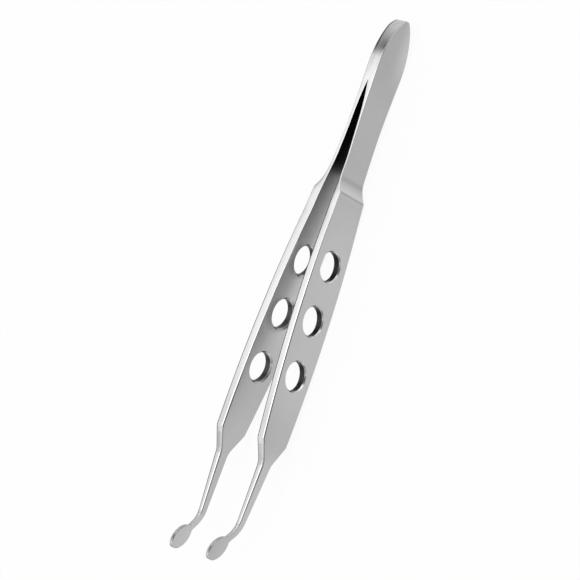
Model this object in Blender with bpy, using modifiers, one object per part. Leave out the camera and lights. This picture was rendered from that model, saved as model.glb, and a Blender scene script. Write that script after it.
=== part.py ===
"""Eyelid massage tweezers: two mirror-image spring arms of stainless steel, welded together at the rear.

Metres, +Z up. The tweezers lie on the narrow lower edges of their rear end and handles, tips upwards.
+X runs from the rear end to the tips, and the arms mirror each other across the plane Y = 0.

Each arm is laid out along its centreline, with s the distance from the rear tip. The wide faces stand
upright, so the outline's half width is measured along Z and the thickness along Y.
"""

import math

import bmesh
import bpy
from mathutils import Matrix, Vector

MM = 0.001

# Rear end, where the two arms are welded face to face and ground flush
weld_length = 13.3 * MM  # rear tip to the start of the gap between the arms
paddle_half_width = 4.08 * MM
paddle_peak = 10.5 * MM  # rear tip to the widest place
nose_half_width = 0.55 * MM  # the small blunt end of the rear tip
nose_fullness = 0.77  # exponent of the rear outline: 0.5 is elliptical, more is leaf-shaped
rear_thickness = 1.25 * MM  # of each arm

# Spring blade, ground thin on its inner side
spring_length = 22.2 * MM  # start of the gap to the edge of the shoulder
spring_half_width = 3.5 * MM
spring_thickness = 0.45 * MM
thinning_run = 8.5 * MM
splay_angle = math.radians(3.27)
splay_start = 3.7 * MM  # start of the gap to where the blade begins to turn outwards
splay_run = 8.0 * MM

# Handle, thicker almost wholly on its outer side
shoulder_run = 3.9 * MM  # length of the concave step up to the handle's outer face
shoulder_half_width = 3.9 * MM
handle_length = 48.5 * MM  # edge of the shoulder to the front corners
handle_half_width = 5.09 * MM
handle_peak = 22.5 * MM  # edge of the shoulder to the widest place
front_half_width = 3.72 * MM
handle_thickness = 1.65 * MM
handle_inset = 0.12 * MM  # how far its inner face stands in from the spring's
handle_inset_run = 10.0 * MM
hole_diameter = 5.73 * MM
hole_pitch = 10.86 * MM
first_hole = 13.7 * MM  # edge of the shoulder to the centre of the rear hole
hole_chamfer = 0.25 * MM

# Neck and stem
corner_radius = 1.3 * MM
neck_run = 4.2 * MM  # front corners to the rear end of the stem
neck_fillet = 3.4 * MM
neck_turn_start = 2.3 * MM  # front corners to where the arm begins to turn back
neck_turn_run = 4.0 * MM
toe_in = math.radians(0.9)  # how far past parallel it turns
stem_length = 11.45 * MM  # to the start of the bend
stem_rear_half_width = 1.3 * MM
stem_front_half_width = 0.65 * MM

# Bend and massage plate
bend_radius = 4.8 * MM
bend_angle = math.radians(38.8)
bridge_length = 1.7 * MM  # end of the bend to the plate
plate_length = 5.5 * MM
plate_half_width = 1.8 * MM
plate_thickness = 0.7 * MM
plate_root_blend = 0.5 * MM  # how far the stem's sides flare where they meet the plate

# Radii of the rounded long edges
rear_edge = 0.28 * MM
spring_edge = 0.1 * MM
handle_edge = 0.28 * MM
stem_edge = 0.2 * MM
inner_edge = 0.15 * MM  # the most on an arm's inner side

# Running clearance between each arm and the welded rear end, where the spring flexes
root_clearance = 0.3 * MM

# Places along the arm that follow from the lengths above
arm_root = weld_length + root_clearance
hinge_place = weld_length + root_clearance / 2
thinning_end = weld_length + thinning_run
splay_from = weld_length + splay_start
shoulder = weld_length + spring_length
spring_foot = shoulder - shoulder_run
handle_widest = shoulder + handle_peak
front_corner = shoulder + handle_length
stem_start = front_corner + neck_run
neck_turn = front_corner + neck_turn_start
bend_start = stem_start + stem_length
bend_run = bend_radius * bend_angle
bend_end = bend_start + bend_run
plate_start = bend_end + bridge_length
plate_middle = plate_start + plate_length / 2
largest_edge = max(rear_edge, spring_edge, handle_edge, stem_edge)

STEEL = (0.62, 0.62, 0.62, 1.0)
STEEL_ROUGHNESS = 0.32
HOLES = 3
HOLE_SIDES = 56
NOSE_STEPS = 12
WELD_STEPS = 3
THINNING_STEPS = 10
BLADE_STEPS = 8
SHOULDER_STEPS = 7
HANDLE_STEPS = 10
ARC_STEPS = 6
STEM_STEPS = 5
BEND_STEPS = 8
BRIDGE_STEPS = 3
PLATE_STEPS = 18
PLATE_LAST_ANGLE = math.radians(5)  # the plate's outline stops this far short of its end, as a small flat
EDGE_SEGMENTS = 3


def steps(start, end, count):
    """Evenly spaced places from start up to, but without, end."""
    return [start + (end - start) * i / count for i in range(count)]


def share(s, start, end):
    """How far s is from start to end, held between 0 and 1."""
    return min(1.0, max(0.0, (s - start) / (end - start)))


def between(a, b, part):
    return a + (b - a) * part


def turned(s, start, run):
    """Sideways travel, at a slope of 1, of a line that starts to turn at start and is straight after run."""
    part = share(s, start, start + run)
    return run * part**2 / 2 + max(0.0, s - start - run)


def fillet(before, corner, after, radius):
    """Points of the arc that rounds the corner between two straight runs."""
    corner = Vector(corner)
    back = (Vector(before) - corner).normalized()
    ahead = (Vector(after) - corner).normalized()
    half = back.angle(ahead) / 2
    middle = corner + (back + ahead).normalized() * radius / math.sin(half)
    first = corner + back * radius / math.tan(half) - middle
    last = corner + ahead * radius / math.tan(half) - middle
    return [middle + first.slerp(last, i / ARC_STEPS) * radius for i in range(ARC_STEPS + 1)]


def rear_width(s):
    """Half width of the leaf-shaped rear end and the spring blade."""
    if s < paddle_peak:
        rise = (1 - (1 - s / paddle_peak) ** 2) ** nose_fullness
        return between(nose_half_width, paddle_half_width, rise)
    if s < spring_foot:
        fall = math.sin(math.pi / 2 * share(s, paddle_peak, spring_foot))
        return between(paddle_half_width, spring_half_width, fall)
    rise = (1 - math.cos(math.pi * share(s, spring_foot, shoulder))) / 2
    return between(spring_half_width, shoulder_half_width, rise)


def handle_width(s):
    """Half width of the handle, whose two edges are long shallow curves."""
    rear, front = (shoulder, shoulder_half_width), (front_corner, front_half_width)
    end, end_width = rear if s < handle_widest else front
    return between(handle_half_width, end_width, share(s, handle_widest, end) ** 2)


def stem_width(s):
    """Half width of the tapering stem, and of the oval plate at its end."""
    stem = between(stem_rear_half_width, stem_front_half_width, share(s, stem_start, bend_end))
    if s <= plate_start:
        return stem
    plate = plate_half_width * math.sqrt(1 - ((s - plate_middle) / (plate_length / 2)) ** 2)
    if s > plate_middle:
        return plate
    near = max(0.0, 1 - abs(stem - plate) / plate_root_blend)
    return max(stem, plate) + plate_root_blend * near**2 / 4


def neck_outline():
    """The handle's rounded front corner and the concave fillet into the stem."""
    corner = (front_corner, front_half_width)
    foot = (stem_start, stem_rear_half_width)
    before = (front_corner - corner_radius, handle_width(front_corner - corner_radius))
    after = (bend_start, stem_width(bend_start))
    return fillet(before, corner, foot, corner_radius) + fillet(corner, foot, after, neck_fillet)


def rear_outline(start, end):
    """(s, half width) of the rear end and spring blade between two places."""
    nose = [paddle_peak * (1 - math.cos(math.pi / 2 * i / NOSE_STEPS)) for i in range(1, NOSE_STEPS)]
    places = nose + steps(paddle_peak, weld_length, WELD_STEPS)
    places += steps(weld_length, thinning_end, THINNING_STEPS)
    places += steps(thinning_end, spring_foot, BLADE_STEPS) + steps(spring_foot, shoulder, SHOULDER_STEPS)
    inside = [s for s in places if start < s < end]
    return [(s, rear_width(s)) for s in [start, *inside, end]]


def front_outline():
    """(s, half width) from just past the shoulder to the end of the massage plate."""
    neck = neck_outline()
    handle = steps(shoulder, handle_widest, HANDLE_STEPS)[1:] + steps(handle_widest, neck[0].x, HANDLE_STEPS)
    stem = steps(neck[-1].x, bend_start, STEM_STEPS)[1:] + steps(bend_start, bend_end, BEND_STEPS)
    stem += steps(bend_end, plate_start, BRIDGE_STEPS)
    angles = [between(math.pi, PLATE_LAST_ANGLE, i / PLATE_STEPS) for i in range(PLATE_STEPS + 1)]
    plate = [plate_middle + plate_length / 2 * math.cos(a) for a in angles]
    outline = [(s, handle_width(s)) for s in handle] + [tuple(p) for p in neck]
    return outline + [(s, stem_width(s)) for s in stem + plate]


def centreline(s):
    """Place, and the direction across the wide face, at s in the arm's upright plane."""
    turn = max(0.0, min(s - bend_start, bend_run)) / bend_radius
    ahead = max(0.0, s - bend_end)
    along = min(s, bend_start) + bend_radius * math.sin(turn) + ahead * math.cos(turn)
    up = bend_radius * (1 - math.cos(turn)) + ahead * math.sin(turn)
    return Vector((along, up)), Vector((-math.sin(turn), math.cos(turn)))


def blade_plane(s):
    """Distance from the mirror plane to the blade's outer face, carried on without the handle's step."""
    splay = math.tan(splay_angle)
    back = splay + math.tan(toe_in)
    out = rear_thickness + splay * turned(s, splay_from, splay_run)
    return out - back * turned(s, neck_turn, neck_turn_run)


def inset(s):
    """How far the handle's inner face stands in from the spring's, eased in from the foot of the shoulder."""
    part = share(s, spring_foot, spring_foot + handle_inset_run)
    return handle_inset * part**2 * (3 - 2 * part)


def inner_face(s):
    """The inner side, ground away from the weld on until only the spring's thickness is left."""
    left = (1 - share(s, weld_length, thinning_end)) ** 2
    inner = blade_plane(s) - between(spring_thickness, rear_thickness, left) - inset(s)
    return max(inner, root_clearance / 2)


def outer_face(s):
    """The outer side: the blade, a concave step up to the handle, and a taper from the neck to the plate."""
    if s < shoulder:
        step = handle_thickness - spring_thickness - inset(shoulder)
        radius = (shoulder_run**2 + step**2) / (2 * step)
        return blade_plane(s) + radius - math.sqrt(radius**2 - max(0.0, s - spring_foot) ** 2)
    taper = share(s, front_corner, plate_start)
    return inner_face(s) + between(handle_thickness, plate_thickness, taper)


def outer_edge(s):
    """Radius of the rounded long edges on the outer side."""
    if s < spring_foot:
        return between(rear_edge, spring_edge, share(s, weld_length, thinning_end))
    if s < front_corner:
        return between(spring_edge, handle_edge, share(s, spring_foot, shoulder))
    return between(handle_edge, stem_edge, share(s, front_corner, stem_start))


def bench_place():
    """The move from the arms' own frame to the bench: level on the two widest places, and centred."""
    lean = math.atan2(handle_half_width - paddle_half_width, handle_widest - paddle_peak)
    turn = Matrix.Rotation(-lean, 4, "Y")
    rim = []
    for s, half in rear_outline(0.0, shoulder) + front_outline():
        middle, across = centreline(s)
        rim += [turn @ Vector((p.x, 0.0, p.y)) for p in (middle - across * half, middle + across * half)]
    along = [p.x for p in rim]
    return Matrix.Translation((-(min(along) + max(along)) / 2, 0.0, -min(p.z for p in rim))) @ turn


def steel(name):
    """Satin stainless steel."""
    material = bpy.data.materials.new(name)
    material.use_nodes = True
    shader = material.node_tree.nodes["Principled BSDF"]
    shader.inputs["Base Color"].default_value = STEEL
    shader.inputs["Metallic"].default_value = 1.0
    shader.inputs["Roughness"].default_value = STEEL_ROUGHNESS
    return material


def add_loft(name, outline, faces, radii, origin, free_end):
    """A bar of rectangular sections, one at each place of the outline, with rounded long edges.

    Width, thickness and place all change along it, so it is lofted. faces holds its two wide faces as y
    along s, the lower y first, and radii the radius of the long edges beside each: a bevel weight gives
    every stretch its own. origin becomes the object's origin. free_end is the index of the end section
    that is rounded as well.
    """
    form = bmesh.new()
    weight = form.edges.layers.float.new("bevel_weight_edge")
    sections = []
    for s, half in outline:
        middle, across = centreline(s)
        low, high = middle - across * half, middle + across * half
        back, front = (face(s) for face in faces)
        corners = [(low, back), (high, back), (high, front), (low, front)]
        sections.append([form.verts.new(Vector((p.x, y, p.y)) - origin) for p, y in corners])
    for rear, front in zip(sections, sections[1:]):
        for i in range(4):
            form.faces.new((rear[i - 1], rear[i], front[i], front[i - 1]))
    form.faces.new(sections[0])
    form.faces.new(sections[-1])
    for (s, _), rear, front in zip(outline, sections, sections[1:]):
        for i in range(4):
            form.edges.get((rear[i], front[i]))[weight] = radii[i // 2](s) / largest_edge
    end = sections[free_end]
    for side, radius in enumerate(radii):
        rim = form.edges.get((end[2 * side], end[2 * side + 1]))
        rim[weight] = radius(outline[free_end][0]) / largest_edge
    bmesh.ops.recalc_face_normals(form, faces=form.faces)
    mesh = bpy.data.meshes.new(name)
    form.to_mesh(mesh)
    form.free()
    loft = bpy.data.objects.new(name, mesh)
    edges = loft.modifiers.new("rounded_edges", "BEVEL")
    edges.limit_method = "WEIGHT"
    edges.width = largest_edge
    edges.segments = EDGE_SEGMENTS
    edges.use_clamp_overlap = False
    return loft


def add_hole_cutter(name):
    """A turned cutter, one hole's radius at the handle and flaring at 45 degrees past both faces."""
    radius = hole_diameter / 2
    straight = handle_thickness / 2 - hole_chamfer
    reach = handle_thickness
    flare = radius + reach - straight
    upper = [(0.0, reach), (flare, reach), (radius, straight)]
    profile = upper + [(x, -z) for x, z in reversed(upper)]
    form = bmesh.new()
    points = [form.verts.new((x, 0.0, z)) for x, z in profile]
    for a, b in zip(points, points[1:]):
        form.edges.new((a, b))
    mesh = bpy.data.meshes.new(name)
    form.to_mesh(mesh)
    form.free()
    cutter = bpy.data.objects.new(name, mesh)
    turn = cutter.modifiers.new("turn", "SCREW")
    turn.steps = HOLE_SIDES
    turn.render_steps = HOLE_SIDES
    turn.use_merge_vertices = True
    turn.merge_threshold = 0.01 * MM
    cutter.hide_render = True
    cutter.display_type = "WIRE"
    return cutter


def add_arm(name, side, bench, parts, cutters):
    """One whole arm, on the +Y side or the -Y side, with its object's origin on its spring's hinge line."""
    origin = Vector((hinge_place, side * rear_thickness / 2, 0.0))
    outline = rear_outline(arm_root, shoulder) + front_outline()
    faces = [lambda s: side * inner_face(s), lambda s: side * outer_face(s)]
    radii = [lambda s: min(outer_edge(s), inner_edge), outer_edge]
    arm = add_loft(name, outline, faces[::side], radii[::side], origin, -1)
    parts.objects.link(arm)
    arm.matrix_world = bench @ Matrix.Translation(origin)
    normal = Vector((-math.sin(splay_angle), side * math.cos(splay_angle), 0.0))
    turn = normal.to_track_quat("Z", "Y").to_matrix().to_4x4()
    for i in range(HOLES):
        s = shoulder + first_hole + i * hole_pitch
        centre = Vector((s, side * (inner_face(s) + outer_face(s)) / 2, 0.0))
        cutter = add_hole_cutter(f"{name}_hole_cutter_{i + 1}")
        cutters.objects.link(cutter)
        cutter.matrix_world = bench @ Matrix.Translation(centre) @ turn
        cut = arm.modifiers.new(f"hole_{i + 1}", "BOOLEAN")
        cut.object = cutter
    return arm


def finish(obj, material):
    """Material, and smooth shading that stays crisp at the corners."""
    obj.data.materials.append(material)
    obj.data.shade_smooth()
    obj.data.set_sharp_from_angle(angle=math.radians(30))


def main():
    for obj in list(bpy.data.objects):
        bpy.data.objects.remove(obj, do_unlink=True)
    parts = bpy.data.collections.new("eyelid_massage_tweezers")
    cutters = bpy.data.collections.new("cutters")
    for collection in (parts, cutters):
        bpy.context.scene.collection.children.link(collection)
    bench = bench_place()
    faces = [lambda s: -rear_thickness, lambda s: rear_thickness]
    origin = Vector((0.0, 0.0, 0.0))
    rear = add_loft("rear_end", rear_outline(0.0, weld_length), faces, [outer_edge, outer_edge], origin, 0)
    parts.objects.link(rear)
    rear.matrix_world = bench
    finish(rear, steel("welded_steel"))
    finish(add_arm("right_arm", 1, bench, parts, cutters), steel("right_arm_steel"))
    finish(add_arm("left_arm", -1, bench, parts, cutters), steel("left_arm_steel"))


main()
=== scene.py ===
# %% [markdown]
# # Eyelid massage tweezers
#
# One steel tool made of two mirror-image spring arms that are welded together at the rear. This script
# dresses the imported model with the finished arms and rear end, their satin steel and a white table.

import math

import bmesh
import bpy
from mathutils import Matrix, Vector


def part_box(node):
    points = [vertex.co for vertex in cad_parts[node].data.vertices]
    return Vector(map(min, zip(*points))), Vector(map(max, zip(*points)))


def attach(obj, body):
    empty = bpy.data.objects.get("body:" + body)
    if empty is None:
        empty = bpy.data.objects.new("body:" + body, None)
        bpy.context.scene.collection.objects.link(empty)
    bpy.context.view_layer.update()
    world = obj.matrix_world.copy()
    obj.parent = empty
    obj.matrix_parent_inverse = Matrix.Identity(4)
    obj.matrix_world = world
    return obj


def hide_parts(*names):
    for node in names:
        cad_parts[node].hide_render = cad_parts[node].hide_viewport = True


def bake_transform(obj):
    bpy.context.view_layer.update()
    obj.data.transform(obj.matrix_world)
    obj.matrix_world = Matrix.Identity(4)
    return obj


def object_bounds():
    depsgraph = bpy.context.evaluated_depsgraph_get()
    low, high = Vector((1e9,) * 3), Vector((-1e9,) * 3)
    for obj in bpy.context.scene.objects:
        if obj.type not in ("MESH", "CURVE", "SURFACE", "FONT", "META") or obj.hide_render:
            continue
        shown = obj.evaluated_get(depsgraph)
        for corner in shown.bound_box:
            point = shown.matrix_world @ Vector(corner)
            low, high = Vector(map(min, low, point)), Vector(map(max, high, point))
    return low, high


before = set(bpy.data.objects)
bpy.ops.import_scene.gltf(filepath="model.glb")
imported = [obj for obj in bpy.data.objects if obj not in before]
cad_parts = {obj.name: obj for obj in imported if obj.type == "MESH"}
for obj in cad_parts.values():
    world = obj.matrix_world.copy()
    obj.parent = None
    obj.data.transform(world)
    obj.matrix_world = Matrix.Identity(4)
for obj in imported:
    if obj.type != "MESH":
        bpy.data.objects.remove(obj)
cad_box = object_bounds()
MM = 0.001


def mm(length):
    """A length as text in millimetres, for the printed lines."""
    return f"{length / MM:.2f} mm"


print("CAD box:", [[mm(c) for c in corner] for corner in cad_box])

# %% [markdown]
# ## The sizes
#
# A maker starts from a drawing. Each length below is measured along one arm from the rear tip, so the
# whole outline can be laid out flat before anything is bent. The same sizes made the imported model, so the
# finished skin follows it.

# %% Sizes of the rear end and the spring blade
weld_length = 13.3 * MM
paddle_half_width = 4.08 * MM
paddle_peak = 10.5 * MM
nose_half_width = 0.55 * MM
nose_fullness = 0.77  # exponent of the rear outline: 0.5 is elliptical, more is leaf-shaped
rear_thickness = 1.25 * MM  # of each arm
spring_half_width = 3.5 * MM
spring_thickness = 0.45 * MM
thinning_end = weld_length + 8.5 * MM
splay_angle = math.radians(3.27)
splay_from = weld_length + 3.7 * MM
splay_run = 8.0 * MM
print("rear end:", mm(weld_length), "long,", mm(2 * rear_thickness), "thick")

# %% Sizes of the handle
shoulder = weld_length + 22.2 * MM
shoulder_run = 3.9 * MM
shoulder_half_width = 3.9 * MM
spring_foot = shoulder - shoulder_run
handle_widest = shoulder + 22.5 * MM
handle_half_width = 5.09 * MM
front_corner = shoulder + 48.5 * MM
front_half_width = 3.72 * MM
handle_thickness = 1.65 * MM
handle_inset = 0.12 * MM  # how far its inner face stands in from the spring's
handle_inset_run = 10.0 * MM
hole_diameter = 5.73 * MM
hole_pitch = 10.86 * MM
first_hole = shoulder + 13.7 * MM
hole_chamfer = 0.25 * MM
print("handle:", mm(front_corner - shoulder), "long")

# %% Sizes of the neck, the stem and the plate
corner_radius = 1.3 * MM
stem_start = front_corner + 4.2 * MM
neck_fillet = 3.4 * MM
neck_turn = front_corner + 2.3 * MM
neck_turn_run = 4.0 * MM
toe_in = math.radians(0.9)
bend_start = stem_start + 11.45 * MM
stem_rear_half_width = 1.3 * MM
stem_front_half_width = 0.65 * MM
bend_radius = 4.8 * MM
bend_angle = math.radians(38.8)
bend_end = bend_start + bend_radius * bend_angle
plate_start = bend_end + 1.7 * MM
plate_length = 5.5 * MM
plate_half_width = 1.8 * MM
plate_thickness = 0.7 * MM
plate_root_blend = 1.3 * MM
plate_root_slope = 2.0
plate_middle = plate_start + plate_length / 2
arm_length = plate_start + plate_length
print("length along the arm:", mm(arm_length))

# %% [markdown]
# ## The outline
#
# Seen from its wide side, the tool is a leaf-shaped rear end, a waisted spring blade, a long shallow
# swelling handle, a rounded neck, a needle-slim stem and an oval plate. Each stretch is one simple curve,
# so short functions of the distance s give the half width anywhere, with no traced points.

# %% Half width along the arm


def share(s, start, end):
    """How far s is from start to end, held between 0 and 1."""
    return min(1.0, max(0.0, (s - start) / (end - start)))


def between(a, b, part):
    return a + (b - a) * part


def rear_width(s):
    """The leaf-shaped rear end, then the waist of the spring blade."""
    if s < paddle_peak:
        rise = (1 - (1 - s / paddle_peak) ** 2) ** nose_fullness
        return between(nose_half_width, paddle_half_width, rise)
    if s < spring_foot:
        fall = math.sin(math.pi / 2 * share(s, paddle_peak, spring_foot))
        return between(paddle_half_width, spring_half_width, fall)
    rise = (1 - math.cos(math.pi * share(s, spring_foot, shoulder))) / 2
    return between(spring_half_width, shoulder_half_width, rise)


def handle_width(s):
    """Two shallow parabolas that meet at the widest place."""
    end, end_width = front_corner, front_half_width
    if s < handle_widest:
        end, end_width = shoulder, shoulder_half_width
    return between(handle_half_width, end_width, share(s, handle_widest, end) ** 2)


def stem_width(s):
    """The tapering stem, then the oval plate with a small flare at its root."""
    stem = between(stem_rear_half_width, stem_front_half_width, share(s, stem_start, bend_end))
    inside = 1 - ((s - plate_middle) / (plate_length / 2)) ** 2
    # behind the plate its outline carries on below zero, so that the flare fades out
    plate = plate_half_width * math.sqrt(inside) if inside > 0 else plate_root_slope * (s - plate_start)
    if s > plate_middle:
        return plate
    near = max(0.0, 1 - abs(stem - plate) / plate_root_blend)
    return max(stem, plate) + plate_root_blend * near**2 / 4


for label, s, width in (("paddle", paddle_peak, rear_width), ("waist", spring_foot, rear_width),
                        ("handle", handle_widest, handle_width), ("plate", plate_middle, stem_width)):
    print(label, "width:", mm(2 * width(s)))

# %% [markdown]
# ## Stations
#
# A long bar is lofted through cross sections, called stations. They stand close together where the outline
# turns quickly and far apart on the straight stretches, which keeps the mesh light and flat faces truly flat.

# %% Stations of the rear end

NOSE_STEPS = 30
WELD_STEPS = 5


def spread(start, end, count):
    """Evenly spaced places from start up to, but without, end."""
    return [start + (end - start) * i / count for i in range(count)]


def rear_stations():
    """(s, half width) for the welded rear end."""
    nose = [paddle_peak * (1 - math.cos(math.pi / 2 * i / NOSE_STEPS)) for i in range(NOSE_STEPS)]
    return [(s, rear_width(s)) for s in nose + spread(paddle_peak, weld_length, WELD_STEPS) + [weld_length]]


print("stations:", len(rear_stations()), "on the rear end")

# %% The arc that rounds a corner

CORNER_ARC_STEPS = 10
NECK_ARC_STEPS = 12


def fillet(before, corner, after, radius, count):
    """Points of the arc that rounds the corner between two straight runs."""
    corner = Vector(corner)
    back = (Vector(before) - corner).normalized()
    ahead = (Vector(after) - corner).normalized()
    half = back.angle(ahead) / 2
    middle = corner + (back + ahead).normalized() * radius / math.sin(half)
    first = corner + back * radius / math.tan(half) - middle
    last = corner + ahead * radius / math.tan(half) - middle
    return [middle + first.slerp(last, i / count) * radius for i in range(count + 1)]


def neck_stations():
    """The two arcs and the straight run between the handle and the stem."""
    corner = (front_corner, front_half_width)
    foot = (stem_start, stem_rear_half_width)
    before = (front_corner - corner_radius, handle_width(front_corner - corner_radius))
    neck = fillet(before, corner, foot, corner_radius, CORNER_ARC_STEPS)
    return neck + fillet(corner, foot, (bend_start, stem_width(bend_start)), neck_fillet, NECK_ARC_STEPS)


print("stations:", len(neck_stations()), "on the neck's arcs")

# %% Stations of an arm

THINNING_STEPS = 28
BLADE_STEPS = 16
SHOULDER_STEPS = 20
REAR_HANDLE_STEPS = 22
FRONT_HANDLE_STEPS = 24
LONG_STEP = 1.2 * MM  # a longer straight run of the neck is divided
LONG_STEP_PARTS = 4
STEM_STEPS = 14
BEND_STEPS = 24
BRIDGE_STEPS = 6
PLATE_STEPS = 60
PLATE_LAST_ANGLE = math.radians(1.2)  # the outline stops just short of its end, as a tiny flat


def arm_stations():
    """(s, half width) from the weld to the end of the massage plate."""
    places = spread(weld_length, thinning_end, THINNING_STEPS)
    places += spread(thinning_end, spring_foot, BLADE_STEPS)
    places += spread(spring_foot, shoulder, SHOULDER_STEPS) + [shoulder]
    stations = [(s, rear_width(s)) for s in places]
    neck = neck_stations()
    places = spread(shoulder, handle_widest, REAR_HANDLE_STEPS)[1:]
    places += spread(handle_widest, neck[0].x, FRONT_HANDLE_STEPS)
    stations += [(s, handle_width(s)) for s in places]
    for a, b in zip(neck, neck[1:]):
        steps = 1 if (b - a).length < LONG_STEP else LONG_STEP_PARTS
        stations += [tuple(a.lerp(b, i / steps)) for i in range(steps)]
    places = spread(neck[-1].x, bend_start, STEM_STEPS) + spread(bend_start, bend_end, BEND_STEPS)
    places += spread(bend_end, plate_start, BRIDGE_STEPS)
    turns = [math.pi * (1 - i / PLATE_STEPS) for i in range(PLATE_STEPS)] + [PLATE_LAST_ANGLE]
    places += [plate_middle + plate_length / 2 * math.cos(a) for a in turns]
    return stations + [(s, stem_width(s)) for s in places]


print("stations:", len(arm_stations()), "on an arm")

# %% [markdown]
# ## The thickness
#
# Each arm starts as thick as half the rear end, is ground down to a thin spring on its inner side, and steps
# up to a thick handle through a concave shoulder on its outer side. In front of the handle it tapers to the
# thin plate. Heights are measured from the blade's outer face, as if the arm lay flat on a bench.

# %% Inner and outer side of the flat bar


def eased(part):
    """A share of 0 to 1 that starts and ends gently."""
    return part**2 * (3 - 2 * part)


def inset(s):
    return handle_inset * eased(share(s, spring_foot, spring_foot + handle_inset_run))


def inner_side(s):
    left = (1 - share(s, weld_length, thinning_end)) ** 2
    return -between(spring_thickness, rear_thickness, left) - inset(s)


def outer_side(s):
    """Flat along the blade, then the arc of the shoulder, then the handle's, stem's and plate's face."""
    if s < shoulder:
        step = handle_thickness - spring_thickness - inset(shoulder)
        radius = (shoulder_run**2 + step**2) / (2 * step)
        return radius - math.sqrt(radius**2 - max(0.0, s - spring_foot) ** 2)
    return inner_side(s) + between(handle_thickness, plate_thickness, share(s, front_corner, plate_start))


def thickness(s):
    return outer_side(s) - inner_side(s)


for label, s in (("spring", thinning_end), ("handle", handle_widest), ("plate", plate_middle)):
    print(label, "thickness:", mm(thickness(s)))

# %% [markdown]
# ## The long edges
#
# A rounded edge is what draws the thin bright and dark lines along polished steel. The outer edges get
# rounder from the spring to the handle, the stems are nearly oval, and at the rear the lower edges are the
# rounder ones. Each arm was ground by itself, so each has its own radius beside its inner face, and the left
# arm's inner side was ground a little less deep.

# %% Radii of the long edges
rear_edge = 0.14 * MM
spring_edge = 0.08 * MM
handle_edge = 0.33 * MM
stem_edge = 0.27  # share of the stem's thickness
lower_rear_edge = 1.6  # radius of a lower outer edge, for an upper one of 1
lower_front_edge = 0.4
weld_edge = 0.03 * MM
right_inner_edge = 0.35 * MM
left_inner_edge = 0.08 * MM
inner_edge_run = 20.0 * MM
left_extra = 0.18 * MM


def outer_edge(s):
    """Radius of the rounded edges beside the outer face."""
    if s < shoulder:
        return between(rear_edge, spring_edge, share(s, weld_length, thinning_end))
    if s < front_corner:
        return between(spring_edge, handle_edge, share(s, shoulder, handle_widest))
    return between(handle_edge, stem_edge * thickness(s), share(s, front_corner, stem_start))


def lower_edge(s):
    """Radius of a lower outer edge, for an upper one of 1."""
    return between(lower_rear_edge, lower_front_edge, share(s, weld_length, shoulder))


def inner_edge(fullness):
    """Radius beside the inner face: almost sharp at the weld, then each arm's own, alike at the front."""

    def radius(s):
        rear = between(weld_edge, fullness, share(s, weld_length, weld_length + inner_edge_run))
        return between(rear, outer_edge(s), share(s, handle_widest, handle_widest + inner_edge_run))

    return radius


def fuller(extra):
    """The inner side of an arm that was ground less deep from the spring to the middle hole."""

    def side(s):
        here = share(s, weld_length, thinning_end) * (1 - share(s, handle_widest, front_corner))
        return inner_side(s) - extra * here

    return side


print("edges:", mm(outer_edge(handle_widest)), "on the handle,", mm(outer_edge(bend_start)), "on the stem")

# %% [markdown]
# ## The cross section
#
# A cross section is a rectangle with four rounded corners, so the wide and narrow faces stay flat. One more
# row of points beside each corner holds its smooth shading back from the flat.

# %% One ring of points

CORNER_STEPS = 8
SUPPORT = 0.03 * MM  # from a corner's arc to the row of points beside it
SUPPORT_SHARE = 0.1  # and at most this share of the half width
WIDEST_CORNER = 0.45  # share of the thickness
TALLEST_CORNER = 0.8  # share of the half width


def corner_arc(y, z, y_way, z_way, radius, turn):
    """Points around one corner, from the wide face to the narrow one, or the other way round."""
    points = [(y, z - z_way * (radius + min(SUPPORT, SUPPORT_SHARE * abs(z))))]
    for i in range(CORNER_STEPS + 1):
        a = math.pi / 2 * i / CORNER_STEPS
        points.append((y - y_way * radius * (1 - math.cos(a)), z - z_way * radius * (1 - math.sin(a))))
    return points if turn else points[::-1]


def section(half, inner, outer, inner_r, outer_r, lower):
    """One closed ring of (y, z), starting on the inner face and going up, over and down the outer face."""
    widest, tallest = WIDEST_CORNER * (outer - inner), TALLEST_CORNER * half
    inner_r = min(inner_r, widest, tallest)
    outer_r = min(outer_r, widest, tallest)
    lower_r = min(outer_r * lower, tallest)
    return (
        corner_arc(inner, half, -1, 1, inner_r, True)
        + corner_arc(outer, half, 1, 1, outer_r, False)
        + corner_arc(outer, -half, 1, -1, lower_r, True)
        + corner_arc(inner, -half, -1, -1, inner_r, False)
    )


def girths(ring):
    """Distance around the section up to each point, and once around."""
    total = [0.0]
    for a, b in zip(ring, ring[1:] + ring[:1]):
        total.append(total[-1] + math.dist(a, b))
    return total


print("points around a section:", 4 * (CORNER_STEPS + 2))

# %% [markdown]
# ## Where each finish lies
#
# A face's finish depends on its strip of the section and on its place along the arm. The finishes are
# numbered once, as material slots, so every face takes its own as it is made. Two more, for the walls and the
# bevels of the holes, come with the drill.

# %% The finish of each strip

OUTER, INNER, SHOULDER, EDGE, MATTE, RIM = range(6)
cut_start = spring_foot - 1 * MM
cut_end = shoulder + 1 * MM
neck_matte_start = front_corner + 1.2 * MM
neck_matte_end = stem_start + 0.5 * MM
bend_matte_start = bend_start + 1.2 * MM
rim_start = plate_start + 1 * MM


def finish_at(i, count, s):
    """The slot of strip i of the section at the place s."""
    half = count // 2
    inside = i in (count - 2, count - 1, 0)
    outside = i in (half - 2, half - 1, half)
    if s > bend_matte_start:
        return MATTE if inside or outside or s < rim_start else RIM
    if inside:
        return INNER if s > weld_length else OUTER
    if outside:
        return SHOULDER if cut_start < s < cut_end else OUTER
    drawn = s < neck_matte_start or neck_matte_end < s < bend_matte_start
    return EDGE if drawn else MATTE


print("cut shoulder from", mm(cut_start), "to", mm(cut_end))

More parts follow.
